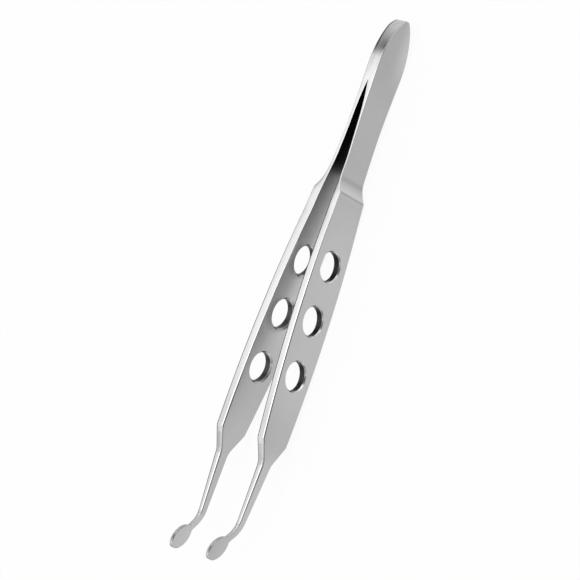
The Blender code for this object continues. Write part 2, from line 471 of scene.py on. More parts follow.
# %% [markdown]
# ## Ground by hand
#
# At the shoulder the upper edge was smoothed by hand, so it widens gently where the lower edge steps. At the
# rear tip the upper narrow face leans a little. Each is a small shift of the upper half of a finished ring,
# so the section itself stays simple.

# %% Changes to the upper half of a ring

slant = 0.38 * MM
slant_rise_end = 1.5 * MM
slant_fall_start = 2 * MM
slant_end = 11.0 * MM


def soft_shoulder(s, ring):
    """The ring of an arm whose upper edge widens more gently through the shoulder than its lower edge."""
    start, end = spring_foot - shoulder_run, shoulder + shoulder_run
    if not start < s < end:
        return ring
    gentle = between(spring_half_width, handle_width(end), eased(share(s, start, end)))
    lift = gentle - max(z for _, z in ring)
    return [(y, z + lift if z > 0 else z) for y, z in ring]


def hand_ground(s, ring):
    """The ring of the rear end with its upper narrow face leaning, so that the far side stands higher."""
    rise = slant * share(s, 0, slant_rise_end) * (1 - share(s, slant_fall_start, slant_end))
    return [(y, z + rise * (1 - y / rear_thickness) / 2 if z > 0 else z) for y, z in ring]


print("upper rear face leans by", mm(slant))

# %% [markdown]
# ## The lofted bar
#
# A loft is a skin of four-sided faces between neighbouring rings, closed by one face at each end. A UV map in
# metres keeps how far along the arm and around the section each face lies, for the lengthwise finishes.

# %% Loft a bar through its stations

UV_NAME = "length_and_girth"
MERGE_DISTANCE = 0.0005 * MM


def new_object(name, data):
    """An object in the scene that holds this mesh, camera or lamp."""
    made = bpy.data.objects.new(name, data)
    bpy.context.scene.collection.objects.link(made)
    return made


def loft(name, stations, inner, outer, inner_r, outer_r, materials, finish_ring):
    """A closed bar along X through one ring at each station."""
    form = bmesh.new()
    uv = form.loops.layers.uv.new(UV_NAME)
    rows = []
    for s, half in stations:
        ring = finish_ring(s, section(half, inner(s), outer(s), inner_r(s), outer_r(s), lower_edge(s)))
        rows.append((s, [form.verts.new((s, y, z)) for y, z in ring], girths(ring)))
    count = len(rows[0][1])
    for (a, rear, rear_girth), (b, front, front_girth) in zip(rows, rows[1:]):
        for i in range(count):
            j = (i + 1) % count
            face = form.faces.new((rear[i], rear[j], front[j], front[i]))
            face.material_index = finish_at(i, count, (a + b) / 2)
            around = (rear_girth[i], rear_girth[i + 1], front_girth[i + 1], front_girth[i])
            for corner, place in zip(face.loops, zip((a, a, b, b), around)):
                corner[uv].uv = place
    for _, ring, _ in (rows[0], rows[-1]):
        form.faces.new(ring).material_index = EDGE
    bmesh.ops.remove_doubles(form, verts=form.verts, dist=MERGE_DISTANCE)
    bmesh.ops.recalc_face_normals(form, faces=form.faces)
    mesh = bpy.data.meshes.new(name)
    form.to_mesh(mesh)
    form.free()
    for material in materials:
        mesh.materials.append(material)
    print(name, "lofted:", len(mesh.polygons), "faces")
    return new_object(name, mesh)


print("UV map:", UV_NAME)

# %% [markdown]
# ## Node tools
#
# The finishes, the row of holes and the bends are node trees, so a few short helpers come first. They add a
# node and fill its inputs, do arithmetic with any number of values, and make a soft step.

# %% Helpers that write node trees


def add(tree, kind, inputs=(), **settings):
    """One node, with its settings and its inputs, given by index or by name."""
    node = tree.nodes.new(kind)
    for key, value in settings.items():
        setattr(node, key, value)
    for key, value in dict(inputs).items():
        if isinstance(value, bpy.types.NodeSocket):
            tree.links.new(value, node.inputs[key])
        else:
            node.inputs[key].default_value = value
    return node


def calc(tree, operation, a, b=0.0, c=0.0, clamp=False):
    """The output of one Math node."""
    return add(tree, "ShaderNodeMath", {0: a, 1: b, 2: c}, operation=operation, use_clamp=clamp).outputs[0]


def chain(operation):
    """A function that takes two or more values through one kind of Math node, one after the other."""

    def run(tree, first, *others):
        for value in others:
            first = calc(tree, operation, first, value)
        return first

    return run


plus, minus, times, most = (chain(kind) for kind in ("ADD", "SUBTRACT", "MULTIPLY", "MAXIMUM"))


def parts(tree, vector):
    """The X, Y and Z of a vector."""
    return add(tree, "ShaderNodeSeparateXYZ", {0: vector}).outputs


def joined(tree, x=0.0, y=0.0, z=0.0):
    """The vector of these three values."""
    return add(tree, "ShaderNodeCombineXYZ", {0: x, 1: y, 2: z}).outputs[0]


def smooth(tree, value, start, end, low=0.0, high=1.0):
    """A soft step of a value from low to high."""
    return add(tree, "ShaderNodeMapRange", {"Value": value, "From Min": start, "From Max": end, "To Min": low,
                                            "To Max": high}, interpolation_type="SMOOTHSTEP").outputs[0]


print("node helpers are ready")

# %% [markdown]
# ## Blasted, drawn and bored steel
#
# The wide faces were blasted with fine beads, which leaves a dull even satin. The narrow edges were drawn
# along a polishing wheel, which leaves them brighter, with lengthwise scratches. The holes are as the drill
# left them, rough, and their walls are painted near black, a painted shade for the inside of the bores. One
# shader group makes the grain of them all from a place on the steel: a fine height for the bump, and a
# slight unevenness of gloss and of tone.

# %% The grain group

GRAIN_INPUTS = {"Grain": 9000.0, "Patch": 400.0, "Stretch": 1.0, "Roughness": 0.3, "Spread": 0.05,
                "Mottle": 0.06}
DETAIL = {"Grain": 2.0, "Patch": 3.0}


def grain_group():
    """Height, gloss and tone of the steel, from a fine and a broad noise that may be stretched."""
    tree = bpy.data.node_groups.new("steel_grain", "ShaderNodeTree")
    tree.interface.new_socket("Place", in_out="INPUT", socket_type="NodeSocketVector")
    for label, value in GRAIN_INPUTS.items():
        tree.interface.new_socket(label, in_out="INPUT", socket_type="NodeSocketFloat").default_value = value
    for label in ("Height", "Gloss", "Tone"):
        tree.interface.new_socket(label, in_out="OUTPUT", socket_type="NodeSocketFloat")
    given = tree.nodes.new("NodeGroupInput").outputs
    stretch = joined(tree, calc(tree, "DIVIDE", 1.0, given["Stretch"]), 1.0, 1.0)
    drawn = add(tree, "ShaderNodeVectorMath", {0: given["Place"], 1: stretch}, operation="MULTIPLY")
    noises = [{"Vector": drawn.outputs[0], "Scale": given[k], "Detail": DETAIL[k]} for k in DETAIL]
    fine, broad = (add(tree, "ShaderNodeTexNoise", noise).outputs["Fac"] for noise in noises)
    swing = minus(tree, plus(tree, fine, broad), 1.0)
    gloss = calc(tree, "MULTIPLY_ADD", swing, given["Spread"], given["Roughness"])
    tone = calc(tree, "MULTIPLY_ADD", minus(tree, broad, 0.5), given["Mottle"], 1.0)
    add(tree, "NodeGroupOutput", {"Height": fine, "Gloss": gloss, "Tone": tone})
    return tree


GRAIN = grain_group()
print("grain group:", len(GRAIN.nodes), "nodes")

# %% [markdown]
# ## One steel, many finishes
#
# Every finish is the same metal: a fully metallic Principled shader, with the grain group for its colour,
# gloss and bump. What changes is how bright and rough it is, how coarse the grain, and the painted light and
# shade over the piece. Lengthwise scratches follow the UV map. Blasted grain has no direction and reads the
# place in space.

# %% The steel material


def steel(name, bright, depth=0.0006 * MM, follows_length=False, shade=None, **sizes):
    """Stainless steel with its own grain depth and grain inputs, and painted light and shade over it."""
    material = bpy.data.materials.new(name)
    material.use_nodes = True
    tree = material.node_tree
    shader = tree.nodes["Principled BSDF"]
    own_map = add(tree, "ShaderNodeUVMap", uv_map=UV_NAME).outputs[0]
    here = add(tree, "ShaderNodeTexCoord").outputs["Object"]
    texture = tree.nodes.new("ShaderNodeGroup")
    texture.node_tree = GRAIN
    tree.links.new(own_map if follows_length else here, texture.inputs["Place"])
    for label, value in sizes.items():
        texture.inputs[label.capitalize()].default_value = value
    tone = times(tree, texture.outputs["Tone"], bright)
    # the shade is painted light and shade, multiplied into the base colour
    if shade:
        tone = times(tree, tone, shade(tree, parts(tree, own_map)["X"], parts(tree, here)))
    tint = add(tree, "ShaderNodeCombineColor", {"Red": tone, "Green": tone, "Blue": tone})
    height = texture.outputs["Height"]
    bump = add(tree, "ShaderNodeBump", {"Strength": 1.0, "Distance": depth, "Height": height})
    tree.links.new(tint.outputs[0], shader.inputs["Base Color"])
    tree.links.new(texture.outputs["Gloss"], shader.inputs["Roughness"])
    tree.links.new(bump.outputs[0], shader.inputs["Normal"])
    shader.inputs["Metallic"].default_value = 1.0
    print("material", name, "roughness", sizes["roughness"])
    return material


print("grain inputs that a finish may set:", ", ".join(GRAIN_INPUTS))

# %% [markdown]
# ## Slow changes along the arm
#
# The colour carries painted reflections that change along the arm: the outer faces are painted lighter on
# the handles than on the rear end, the drawn edges darker towards the front, the neck darker and the bend
# and plates lighter. Inside, near the weld, the inner faces are painted black, a painted shade for the gap
# where the arms hide each other from the light. A Float Curve along the arm gives each of these slow changes.

# %% Curves along the arm

CURVE_TOP = 2.0  # a Float Curve holds values up to 1, so shades are stored as shares of this


def along_arm(*stops):
    """A shade that runs through the given (place, shade) stops along the arm."""

    def shade(tree, s, spot):
        ramp = add(tree, "ShaderNodeFloatCurve", {"Value": calc(tree, "DIVIDE", s, arm_length)})
        points = ramp.mapping.curves[0].points
        points[0].location = (0.0, stops[0][1] / CURVE_TOP)
        points[1].location = (1.0, stops[-1][1] / CURVE_TOP)
        for place, level in stops:
            points.new(place / arm_length, level / CURVE_TOP)
        for point in points:
            point.handle_type = "AUTO_CLAMPED"
        ramp.mapping.update()
        return times(tree, ramp.outputs[0], CURVE_TOP)

    return shade


# painted reflection: the outer faces lighter on the handles than on the rear end
outer_ramp = along_arm((8 * MM, 0.9), (20 * MM, 0.98), (spring_foot, 0.96), (shoulder + 4 * MM, 1.06),
                       (shoulder + 14 * MM, 1.13), (front_corner - 12 * MM, 1.13), (front_corner, 1.02),
                       (stem_start + 2 * MM, 1.15))
# painted shade: the inner faces black near the weld, where the arms shade the gap
inner_ramp = along_arm((28.4 * MM, 0.06), (32.8 * MM, 0.78), (shoulder + 5 * MM, 1.0), (handle_widest, 1.04),
                       (front_corner - 6 * MM, 1.06), (front_corner, 1.1))
# painted reflection: the drawn edges darker towards the front
edge_shade = along_arm((shoulder + 20 * MM, 1.0), (front_corner - 8 * MM, 0.88),
                       (front_corner - 2 * MM, 0.78), (stem_start, 0.8))
# painted reflection: the neck darker, the bend and the plates lighter
matte_shade = along_arm((front_corner + 2 * MM, 0.75), (stem_start, 0.68), (bend_start, 1.06))
print("curves: outer faces, inner faces, narrow edges, matte ends")

# %% [markdown]
# ## Shades of the wide faces
#
# The rear end is painted lighter towards its lower edge, a painted light as if bounced up from the table.
# Each inner face has a painted shade of the other arm, and a patch of painted shade above each of the rear
# two holes. Soft steps, made with Map Range nodes, give such narrow changes their place and reach.

# %% Shades of the outer and inner faces

# painted light on the lower part of the rear end, as if bounced up from the table
rear_light = 0.36
rear_light_along = (5 * MM, 15 * MM)
rear_light_up = (0.3 * MM, 5 * MM)
# painted shade of the other arm, darker towards the upper edge of each inner face
other_arm_dark = 0.28
other_arm_along = (55 * MM, 75 * MM)
other_arm_up = (2.5 * MM, 9 * MM)
inner_base = 0.95
# painted shade above each of the rear two holes on the inner faces
PAINTED_SHADE_HOLES = 2
painted_shade_ahead = 0.5 * MM  # of the hole's centre
painted_shade_height = 6.5 * MM
painted_shade_reach = (2.4 * MM, 4.0 * MM)
painted_shade_dark = 0.75


def outer_shade(tree, s, spot):
    """The painted reflection along the arm, and the painted light on the lower part of the rear end."""
    rear = smooth(tree, s, *rear_light_along, rear_light, 0.0)
    light = calc(tree, "MULTIPLY_ADD", rear, smooth(tree, spot["Z"], *rear_light_up, 1.0, 0.0), 1.0)
    return times(tree, light, outer_ramp(tree, s, spot))


def inner_shade(tree, s, spot):
    """The painted shade along the arm and of the other arm, and the painted shade above the rear two holes."""
    depth = smooth(tree, s, *other_arm_along, other_arm_dark, 0.0)
    light = calc(tree, "MULTIPLY_ADD", depth, smooth(tree, spot["Z"], *other_arm_up, 1.0, 0.0), inner_base)
    for hole in range(PAINTED_SHADE_HOLES):
        ahead = minus(tree, s, first_hole + hole * hole_pitch + painted_shade_ahead)
        above = minus(tree, spot["Z"], painted_shade_height)
        off = calc(tree, "SQRT", calc(tree, "MULTIPLY_ADD", ahead, ahead, times(tree, above, above)))
        light = times(tree, light, smooth(tree, off, *painted_shade_reach, painted_shade_dark, 1.0))
    return times(tree, light, inner_ramp(tree, s, spot))


print("smears reach", mm(painted_shade_reach[1]))

# %% [markdown]
# ## Shades of the shoulder and the rear band
#
# The concave shoulder was cut with a round wheel. Its reflections are painted into the colour: a dark band at
# its foot, a painted highlight that grows towards its crest, and a thin dark line at the crest. The band
# around the rear end was ground last, over both arms at once, and is painted darker from the tip to where the
# weld ends, as painted reflection, with a lighter tip, a darker patch and a dark line along its far edge.
# Each darker place is a soft step or two along the arm, or across it.

# %% Shade of the cut shoulder

# painted reflection of the concave shoulder: a dark band, a highlight up to the crest, a dark line there
foot_band = spring_foot + 1.1 * MM
foot_band_reach = 0.9 * MM
foot_band_dark = 0.84
crest_rise = (spring_foot + 1.4 * MM, shoulder - 0.3 * MM)
crest_rise_levels = (0.96, 1.27)
crest_fall = (shoulder - 0.2 * MM, shoulder)
crest_fall_depth = -0.25
crest_line_reach = (0.05 * MM, 0.4 * MM)
crest_line_dark = 0.76


def distance(tree, value, place):
    """How far a value is from a place, on either side."""
    return calc(tree, "ABSOLUTE", minus(tree, value, place))


def cut_shade(tree, s, spot):
    """Painted reflection: a dark band at the foot, a painted highlight up to the crest, then a thin dark line.
    """
    band = smooth(tree, distance(tree, s, foot_band), 0.0, foot_band_reach, foot_band_dark, 1.0)
    rise = smooth(tree, s, *crest_rise, *crest_rise_levels)
    past = smooth(tree, s, *crest_fall, 0.0, crest_fall_depth)
    line = smooth(tree, distance(tree, s, shoulder), *crest_line_reach, crest_line_dark, 1.0)
    return times(tree, plus(tree, rise, past), band, line)


print("dark band at", mm(foot_band))

# %% Shade of the ground rear band

# painted reflection on the rear band: a dark line along its far edge, a lighter tip, a darker band and patch
painted_line = (0.28 * MM - rear_thickness, 0.55 * MM - rear_thickness)
painted_line_dark = 0.4
painted_line_end = (5 * MM, 8 * MM)
tip_light = 0.2
tip_light_end = (1.5 * MM, 4 * MM)
band_dark = 0.82
band_dark_end = (8 * MM, 13 * MM)
dark_patch = 7.2 * MM
dark_patch_reach = 1.5 * MM
dark_patch_level = 0.74


def rear_shade(tree, s, spot):
    """Painted reflection on the rear band: darker, with a lighter tip, a darker patch and a dark far-edge line.
    """
    line = smooth(tree, spot["Y"], *painted_line, painted_line_dark, 1.0)
    past = smooth(tree, s, *painted_line_end)
    band_tone = plus(tree, smooth(tree, s, *tip_light_end, tip_light, 0.0),
                smooth(tree, s, *band_dark_end, band_dark, 1.0))
    patch = smooth(tree, distance(tree, s, dark_patch), 0.0, dark_patch_reach, dark_patch_level, 1.0)
    return times(tree, most(tree, line, past), band_tone, patch)


print("darker patch at", mm(dark_patch))

# %% [markdown]
# ## Shades of the holes and of the plates' rims
#
# The left arm's bores are painted lighter, a painted light that reaches them between the arms. On the right
# arm the lowest part of each bevel has a painted dark reflection, and just ahead of it a painted glint. Each
# plate has a small painted dark reflection on the upper corner of its rim. All are placed by coordinates,
# and one Wrap node repeats the bevels' shade at the pitch of the holes.

# %% Shades of the bores, the bevels and the rims

across_arms = (-1 * MM, 1 * MM)
# painted light on the bores of the left arm
left_bore_light = 1.6
# painted dark reflection and painted glint on the right arm's bevels, at every hole
bevel_painted_dark = -0.7
bevel_painted_dark_ahead = (-1.5 * MM, -0.3 * MM)
bevel_painted_glint = 1.2
bevel_painted_glint_ahead = (0.3 * MM, 1.6 * MM)
bevel_low = (4.5 * MM, 3.0 * MM)
# painted dark reflection on the upper corner of each plate's rim
rim_dark_at = plate_start + 4.5 * MM
rim_dark_reach = (0.2 * MM, 0.9 * MM)
rim_dark_level = -0.55
rim_dark_up = (9.6 * MM, 10.2 * MM)
rim_dark_right_arm = (4.4 * MM, 4.65 * MM)
rim_dark_left_arm = (-4.75 * MM, -4.5 * MM)


def wall_shade(tree, s, spot):
    """The bores of the left arm are painted lighter than those of the right arm, as painted light."""
    return smooth(tree, spot["Y"], *across_arms, left_bore_light, 1.0)


def bevel_shade(tree, s, spot):
    """On the right arm, a painted dark reflection in the lowest part of the bevels and a painted glint ahead of
    it.
    """
    along = minus(tree, spot["X"], cad_box[0][0] + first_hole)
    ahead = calc(tree, "WRAP", along, hole_pitch / 2, -hole_pitch / 2)
    change = plus(tree, smooth(tree, ahead, *bevel_painted_dark_ahead, 0.0, bevel_painted_dark),
                  smooth(tree, ahead, *bevel_painted_glint_ahead, 0.0, bevel_painted_glint))
    low = times(tree, smooth(tree, spot["Z"], *bevel_low), smooth(tree, spot["Y"], *across_arms))
    return calc(tree, "MULTIPLY_ADD", change, low, 1.0)


def rim_shade(tree, s, spot):
    """A painted dark reflection on the upper corner of each plate's rim, on the plate's right side."""
    mark = smooth(tree, distance(tree, s, rim_dark_at), *rim_dark_reach, rim_dark_level, 0.0)
    high = smooth(tree, spot["Z"], *rim_dark_up)
    right = smooth(tree, spot["Y"], *rim_dark_right_arm)
    left = smooth(tree, spot["Y"], *rim_dark_left_arm)
    left = times(tree, left, smooth(tree, spot["Y"], 0.0, across_arms[0]))
    return calc(tree, "MULTIPLY_ADD", mark, times(tree, high, plus(tree, right, left)), 1.0)


print("rim marks at", mm(rim_dark_at))

# %% [markdown]
# ## The finishes
#
# Each finish of the real tool becomes one material. The wide faces have a fine even grain, the narrow edges
# and the rear band long scratches, the necks and plates almost none, and the holes the coarsest.

# %% The finishes

SCRATCHED = {"grain": 7000.0, "depth": 0.001 * MM, "follows_length": True}
MATTE_GRAIN = {"spread": 0.03, "mottle": 0.1, "depth": 0.0001 * MM}
DRILLED = {"grain": 5000.0, "depth": 0.004 * MM}
BLASTED_OUTSIDE = steel("blasted_outer_faces", bright=0.47, roughness=0.36, shade=outer_shade)
BLASTED_INSIDE = steel("blasted_inner_faces", bright=0.47, roughness=0.3, shade=inner_shade)
CUT_SHOULDER = steel("cut_shoulder", bright=0.47, roughness=0.32, shade=cut_shade)
DRAWN_EDGES = steel("drawn_narrow_edges", bright=0.5, roughness=0.17, patch=3000.0, stretch=30.0, spread=0.12,
                    mottle=0.3, shade=edge_shade, **SCRATCHED)
GROUND_REAR = steel("ground_rear_edges", bright=0.52, roughness=0.2, patch=3600.0, stretch=14.0, spread=0.3,
                    mottle=0.9, shade=rear_shade, **SCRATCHED)
MATTE_ENDS = steel("matte_neck_and_plates", bright=0.56, roughness=0.5, shade=matte_shade, **MATTE_GRAIN)
PLATE_RIMS = steel("plate_rims", bright=0.5, roughness=0.75, shade=rim_shade, **MATTE_GRAIN)
# the near-black walls are a painted shade for the inside of the bores
BORED_WALLS = steel("bored_hole_walls", bright=0.035, roughness=0.4, patch=900.0, spread=0.2, mottle=1.0,
                    shade=wall_shade, **DRILLED)
TURNED_BEVELS = steel("turned_hole_bevels", bright=0.5, roughness=0.3, patch=1200.0, spread=0.1, mottle=2.0,
                      shade=bevel_shade, **DRILLED)
FINISHES = (BLASTED_OUTSIDE, BLASTED_INSIDE, CUT_SHOULDER, DRAWN_EDGES, MATTE_ENDS, PLATE_RIMS, BORED_WALLS,
            TURNED_BEVELS)
REAR_FINISHES = (BLASTED_OUTSIDE, BLASTED_INSIDE, CUT_SHOULDER, GROUND_REAR)

# %% [markdown]
# ## The row of holes
#
# Each handle is pierced by a row of equal holes with a small bevel at both mouths. They are repeated at one
# pitch, so a Geometry Nodes tree makes the cutters: a cylinder whose two ends flare at 45 degrees, placed
# on every point of a line. The cutters are subtracted while the arm is still flat, as a drill would do it.

# %% Helpers for Geometry Nodes


def geometry_tree(name, sizes):
    """A Geometry Nodes tree with one named input for each size; returns it, its inputs and identifiers."""
    tree = bpy.data.node_groups.new(name, "GeometryNodeTree")
    tree.interface.new_socket("Geometry", in_out="INPUT", socket_type="NodeSocketGeometry")
    tree.interface.new_socket("Geometry", in_out="OUTPUT", socket_type="NodeSocketGeometry")
    names = {}
    for label, value in sizes.items():
        socket = tree.interface.new_socket(label, in_out="INPUT", socket_type="NodeSocketFloat")
        socket.default_value = value
        names[label] = socket.identifier
    return tree, tree.nodes.new("NodeGroupInput").outputs, names


def run_tree(obj, tree, names, sizes):
    """Run a tree on an object with these sizes and keep the result as its plain mesh."""
    modifier = obj.modifiers.new(tree.name, "NODES")
    modifier.node_group = tree
    for label, value in sizes.items():
        modifier[names[label]] = value
    bpy.context.view_layer.update()
    seen = bpy.context.evaluated_depsgraph_get()
    shown = obj.evaluated_get(seen)
    mesh = bpy.data.meshes.new_from_object(shown, preserve_all_data_layers=True, depsgraph=seen)
    obj.modifiers.clear()
    obj.data = mesh
    return obj


print("geometry helpers are ready")

# %% One cutter

HOLE_SIDES = 72


def position(tree):
    """The three coordinates of the point that a node tree is working on."""
    return parts(tree, add(tree, "GeometryNodeInputPosition").outputs[0])


def flared_pin(tree, given):
    """A cylinder of radius 1 whose ends are widened and moved apart by the same reach."""
    pin = add(tree, "GeometryNodeMeshCylinder", {"Vertices": HOLE_SIDES, "Side Segments": 3, "Radius": 1.0,
                                                 "Depth": 6.0})
    spot = position(tree)
    # the rings of the cylinder stand at a height of 1 and 3: the flare runs from the first to the second
    past_first = minus(tree, calc(tree, "ABSOLUTE", spot["Z"]), 1.0)
    reach = times(tree, calc(tree, "MULTIPLY", past_first, 0.5, clamp=True), given["Reach"])
    wide = plus(tree, given["Radius"], reach)
    tall = times(tree, plus(tree, given["Straight"], reach), calc(tree, "SIGN", spot["Z"]))
    moved = joined(tree, times(tree, spot["X"], wide), tall, times(tree, spot["Y"], -1.0, wide))
    shaped = {"Geometry": pin.outputs["Mesh"], "Position": moved}
    return add(tree, "GeometryNodeSetPosition", shaped).outputs[0]


print("sides of a cutter:", HOLE_SIDES)

# %% The row of cutters

HOLES = 3


def hole_row_tree(sizes):
    """Cutters in a row, with one material on their walls and another on their flares."""
    tree, given, names = geometry_tree("hole_row", sizes)
    start = joined(tree, given["First"], given["Middle"])
    line = {"Count": HOLES, "Start Location": start, "Offset": joined(tree, given["Pitch"])}
    points = add(tree, "GeometryNodeMeshLine", line).outputs[0]
    shaped = flared_pin(tree, given)
    row = add(tree, "GeometryNodeInstanceOnPoints", {"Points": points, "Instance": shaped}).outputs[0]
    real = add(tree, "GeometryNodeRealizeInstances", {0: row}).outputs[0]
    walled = add(tree, "GeometryNodeSetMaterial", {"Geometry": real, "Material": BORED_WALLS}).outputs[0]
    off = distance(tree, position(tree)["Y"], given["Middle"])
    flared = add(tree, "FunctionNodeCompare", {"A": off, "B": given["Straight"]}, data_type="FLOAT",
                 operation="GREATER_THAN").outputs[0]
    done = add(tree, "GeometryNodeSetMaterial", {"Geometry": walled, "Selection": flared,
                                                 "Material": TURNED_BEVELS}).outputs[0]
    add(tree, "NodeGroupOutput", {0: done})
    return tree, names


bar_middle = inner_side(handle_widest) + handle_thickness / 2
row_sizes = {
    "First": first_hole,
    "Pitch": hole_pitch,
    "Middle": bar_middle,
    "Radius": hole_diameter / 2,
    "Straight": handle_thickness / 2 - hole_chamfer,
    "Reach": handle_thickness,
}
cutters = new_object("hole_cutters", bpy.data.meshes.new("hole_cutters"))
run_tree(cutters, *hole_row_tree(row_sizes), row_sizes)
print("cutters:", len(cutters.data.polygons), "faces for", HOLES, "holes")

# %% [markdown]
# ## Forming
#
# The flat pierced bar is then bent, as in a press: it splays outwards along the spring, turns back at the
# neck so that the stems run almost parallel, and bends upwards to the plate. A Geometry Nodes tree does this
# to every point at once. Its inputs are the angles and radii, so a bend can be changed without new stations.

# %% Sideways: the splay and the neck


def turned(tree, s, start, run):
    """Sideways travel and slope, for a slope of 1, of a line that starts to turn at start."""
    past = minus(tree, s, start)
    part = calc(tree, "DIVIDE", past, run, clamp=True)
    curve = times(tree, part, part, times(tree, run, 0.5))
    straight = most(tree, minus(tree, past, run), 0.0)
    return plus(tree, curve, straight), part


def splayed(tree, given, s, off):
    """Where a point lies across the tool, and how far its wide face leans along it."""
    out_travel, out_part = turned(tree, s, given["Splay Start"], given["Splay Run"])
    back_travel, back_part = turned(tree, s, given["Neck Start"], given["Neck Run"])
    splay = calc(tree, "TANGENT", given["Splay Angle"])
    back = plus(tree, splay, calc(tree, "TANGENT", given["Toe In"]))
    travel, slope = (
        minus(tree, times(tree, splay, out), times(tree, back, home))
        for out, home in ((out_travel, back_travel), (out_part, back_part))
    )
    away = plus(tree, given["Plane"], travel, off)
    return away, times(tree, slope, minus(tree, given["Middle"], off))


print("splay", round(math.degrees(splay_angle), 2), "degrees, toe-in", round(math.degrees(toe_in), 2))

# %% The forming tree


def forming_tree(sizes):
    """Every point splayed sideways, then bent upwards, and mirrored by Side."""
    tree, given, names = geometry_tree("forming", sizes)
    spot = position(tree)
    s, up = spot["X"], spot["Z"]
    away, lean = splayed(tree, given, s, spot["Y"])
    radius = given["Bend Radius"]
    past = minus(tree, s, given["Bend Start"])
    turn = calc(tree, "DIVIDE", most(tree, past, 0.0), radius)
    angle = calc(tree, "MINIMUM", turn, given["Bend Angle"])
    arc = times(tree, radius, given["Bend Angle"])
    ahead = most(tree, minus(tree, past, arc), 0.0)
    sine, cosine = calc(tree, "SINE", angle), calc(tree, "COSINE", angle)
    along = plus(tree, calc(tree, "MINIMUM", s, given["Bend Start"]), lean)
    along = calc(tree, "MULTIPLY_ADD", radius, sine, along)
    along = calc(tree, "MULTIPLY_ADD", ahead, cosine, along)
    along = minus(tree, along, times(tree, up, sine))
    rise = times(tree, radius, minus(tree, 1.0, cosine))
    rise = calc(tree, "MULTIPLY_ADD", ahead, sine, rise)
    rise = calc(tree, "MULTIPLY_ADD", up, cosine, rise)
    formed = joined(tree, along, times(tree, away, given["Side"]), rise)
    bent = add(tree, "GeometryNodeSetPosition", {"Geometry": given["Geometry"], "Position": formed})
    add(tree, "NodeGroupOutput", {0: bent.outputs[0]})
    return tree, names


forming_sizes = {
    "Side": 1.0,
    "Plane": rear_thickness,
    "Middle": bar_middle,
    "Splay Start": splay_from,
    "Splay Run": splay_run,
    "Splay Angle": splay_angle,
    "Neck Start": neck_turn,
    "Neck Run": neck_turn_run,
    "Toe In": toe_in,
    "Bend Start": bend_start,
    "Bend Radius": bend_radius,
    "Bend Angle": bend_angle,
}
FORMING, FORMING_NAMES = forming_tree(forming_sizes)
print("forming tree:", len(FORMING.nodes), "nodes")

# %% [markdown]
# ## Laying the tool on the table
#
# Let go on a table, the tool lies on the two widest places of its lower narrow edges, at the rear end and at
# the handles. The drawing's own axis therefore leans a little, and one matrix takes the drawing to the
# table for the meshes and for the camera alike.

# %% From the drawing to the table


def table_place():
    """The matrix from the drawing to the table, and the tool's overall length."""
    lean = math.atan2(handle_half_width - paddle_half_width, handle_widest - paddle_peak)
    turn = Matrix.Rotation(-lean, 4, "Y")
    high = max(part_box(n)[1].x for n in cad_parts)
    low = min(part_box(n)[0].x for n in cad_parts)
    rear = min((turn @ Vector((s, 0.0, z))).x for s, half in rear_stations() for z in (half, -half))
    handle = [s for s, _ in arm_stations() if shoulder < s < front_corner]
    drop = min((turn @ Vector((s, 0.0, -handle_width(s)))).z for s in handle)
    return Matrix.Translation((low - rear, 0.0, -drop)) @ turn, high - low


TABLE, overall = table_place()
print("overall length:", mm(overall), "moved by", [mm(c) for c in TABLE.translation])

# %% [markdown]
# ## Finishing a piece
#
# After forming, a mesh gets outward normals, smooth shading that stays crisp at hole mouths, and its place on
# the table written into its points, so that its object stays at the origin. The holes are cut before the
# bends, and the left arm is the same bar formed to the other side.

# %% Put the parts together

CRISP_ANGLE = math.radians(28)


def finish_piece(obj):
    form = bmesh.new()
    form.from_mesh(obj.data)
    bmesh.ops.transform(form, matrix=TABLE, verts=form.verts)
    bmesh.ops.recalc_face_normals(form, faces=form.faces)
    open_edges = sum(len(e.link_faces) != 2 for e in form.edges)
    form.to_mesh(obj.data)
    form.free()
    obj.data.shade_smooth()
    obj.data.set_sharp_from_angle(angle=CRISP_ANGLE)
    print(obj.name, len(obj.data.polygons), "faces,", open_edges, "open edges")


def make_arm(name, side, edge, extra):
    """One arm on the given side, with its own inner edge radius and extra thickness on its inner side."""
    arm = loft(name, arm_stations(), fuller(extra), outer_side, inner_edge(edge), outer_edge, FINISHES,
               soft_shoulder)
    drill = arm.modifiers.new("drill", "BOOLEAN")
    drill.operation = "DIFFERENCE"
    drill.solver = "EXACT"
    drill.object = cutters
    drill.material_mode = "TRANSFER"
    run_tree(arm, FORMING, FORMING_NAMES, {**forming_sizes, "Side": side})
    finish_piece(arm)
    return arm


right_arm = make_arm("right_arm_finished", 1.0, right_inner_edge, 0.0)
left_arm = make_arm("left_arm_finished", -1.0, left_inner_edge, left_extra)
rear_end = loft("rear_end_finished", rear_stations(), lambda s: -rear_thickness, lambda s: rear_thickness,
                outer_edge, outer_edge, REAR_FINISHES, hand_ground)
finish_piece(rear_end)
bpy.data.objects.remove(cutters)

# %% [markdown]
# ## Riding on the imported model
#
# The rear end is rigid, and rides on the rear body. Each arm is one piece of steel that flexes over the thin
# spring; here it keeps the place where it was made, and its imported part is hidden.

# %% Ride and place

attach(rear_end, "rear")
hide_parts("rear_end")
for arm, body, node in ((right_arm, "right", "right_arm"), (left_arm, "left", "left_arm")):
    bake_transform(arm)
    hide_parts(node)
    print(arm.name, "bends between the rear end and the", body, "body")

# %% [markdown]
# ## The camera
#
# The photograph looks down on the tool from its right-hand side, from about 0.7 m, rolled so that the rear
# end is at the top right. A long lens keeps the two arms nearly the same size, and a small shift of the lens
# centres the picture without turning the camera.

# %% Camera at the photograph's viewing angle

